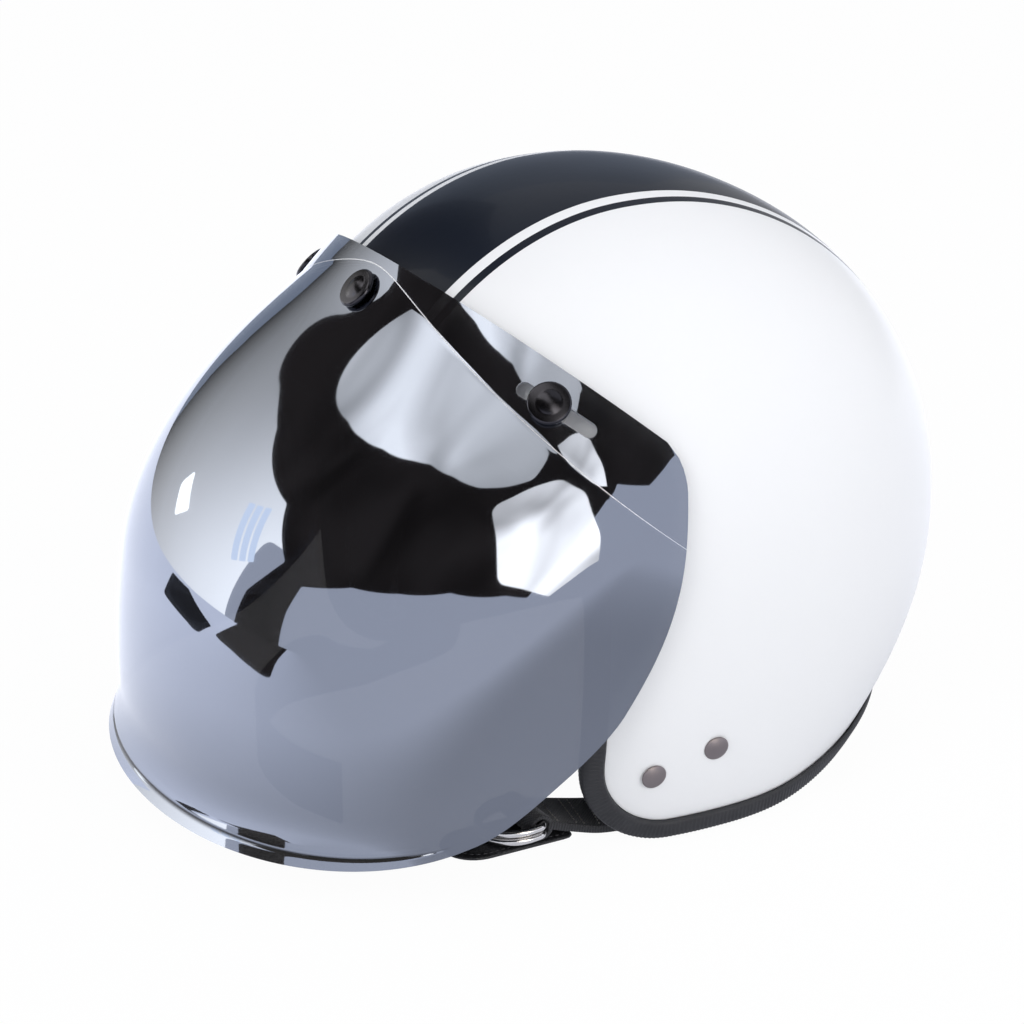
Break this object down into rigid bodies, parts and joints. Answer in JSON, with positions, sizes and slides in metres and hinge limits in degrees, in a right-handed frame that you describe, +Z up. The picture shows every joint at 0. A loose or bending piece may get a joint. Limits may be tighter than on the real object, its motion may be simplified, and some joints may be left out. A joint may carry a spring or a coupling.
{
  "type": "open-face riding helmet",
  "caption": "Open-face riding helmet with a snapped-on mirrored bubble visor, padded lining and a chin strap with D-rings.",
  "frame": {"origin": "on the ground, on the centre plane, under the middle of the overall length", "axes": "+Z up, the helmet faces -Y, +X is the wearer's left"},
  "size_m": [0.2554, 0.3364, 0.2353],
  "materials": {
    "shell_lacquer": "white gloss lacquer over laminate, with dark stripes",
    "edge_rubber": "black ribbed rubber",
    "liner_foam": "expanded foam, dark grey",
    "lining_cloth": "knitted cloth over soft foam",
    "plated_steel": "zinc plated",
    "rivet_metal": "satin taupe nickel",
    "strap_webbing": "woven black webbing with pale stitching",
    "ring_steel": "polished steel",
    "stud_metal": "nickel plated snap parts",
    "visor_mirror": "blue-silver mirror coating, slightly see-through",
    "cap_nickel": "polished dark nickel",
    "washer_nylon": "clear-grey nylon"
  },
  "bodies": {
    "helmet": {"outer_shell": "shell_lacquer", "edge_trim": "edge_rubber", "impact_liner": "liner_foam", "crown_pad": "lining_cloth", "brow_pad": "lining_cloth", "neck_roll": "lining_cloth", "left_cheek_pad": "lining_cloth", "right_cheek_pad": "lining_cloth", "left_strap_hanger": "plated_steel", "right_strap_hanger": "plated_steel", "strap_rivets": "rivet_metal", "rivet_washers": "plated_steel", "centre_stud": "stud_metal", "left_stud": "stud_metal", "right_stud": "stud_metal"},
    "visor": {"visor_lens": "visor_mirror", "centre_snap_cap": "cap_nickel", "centre_snap_socket": "stud_metal"},
    "left_snap": {"left_snap_cap": "cap_nickel", "left_snap_washer": "washer_nylon", "left_snap_socket": "stud_metal"},
    "right_snap": {"right_snap_cap": "cap_nickel", "right_snap_washer": "washer_nylon", "right_snap_socket": "stud_metal"},
    "left_chin_strap": {"left_strap": "strap_webbing"},
    "chin_pad": {"chin_flap": "strap_webbing"},
    "outer_ring": {"outer_d_ring": "ring_steel"},
    "inner_ring": {"inner_d_ring": "ring_steel"},
    "right_chin_strap": {"right_strap": "strap_webbing"}
  },
  "joints": [
    {"name": "visor_lift_off", "type": "slide", "parent": "helmet", "child": "visor", "axis": [0, -0.8, 0.6], "range_m": [0, 0.15], "deforming": ["centre_snap_socket", "left_snap_socket", "right_snap_socket"]},
    {"name": "left_snap_adjust", "type": "hinge", "parent": "visor", "child": "left_snap", "pos_m": [0.0286, 0.012, 0.13585], "axis": [0, 0.606, 0.7955], "range_deg": [-6.2, 9.2]},
    {"name": "right_snap_adjust", "type": "hinge", "parent": "visor", "child": "right_snap", "pos_m": [-0.0286, 0.012, 0.13585], "axis": [0, 0.606, 0.7955], "range_deg": [-9.2, 6.2]},
    {"name": "left_strap_swing", "type": "hinge", "parent": "helmet", "child": "left_chin_strap", "pos_m": [0.10778, 0.00789, 0.0206], "axis": [0.1563, 0.9438, 0.2913], "range_deg": [0, 10]},
    {"name": "right_strap_swing", "type": "hinge", "parent": "helmet", "child": "right_chin_strap", "pos_m": [-0.10778, 0.00789, 0.0206], "axis": [-0.1563, 0.9438, 0.2913], "range_deg": [-10, 0]},
    {"name": "outer_ring_swing", "type": "hinge", "parent": "left_chin_strap", "child": "outer_ring", "pos_m": [0.082, -0.04675, 0.0094], "axis": [-1, 0, 0], "range_deg": [0, 100]},
    {"name": "inner_ring_swing", "type": "hinge", "parent": "left_chin_strap", "child": "inner_ring", "pos_m": [0.082, -0.04675, 0.0061], "axis": [1, 0, 0], "range_deg": [0, 60]},
    {"name": "chin_flap_fold", "type": "hinge", "parent": "left_chin_strap", "child": "chin_pad", "pos_m": [0.082, -0.03275, 0.0013], "axis": [1, 0, 0], "range_deg": [0, 60]}
  ],
  "couplings": [
    {"joint": "chin_flap_fold", "follows": "inner_ring_swing", "ratio": 1}
  ]
}
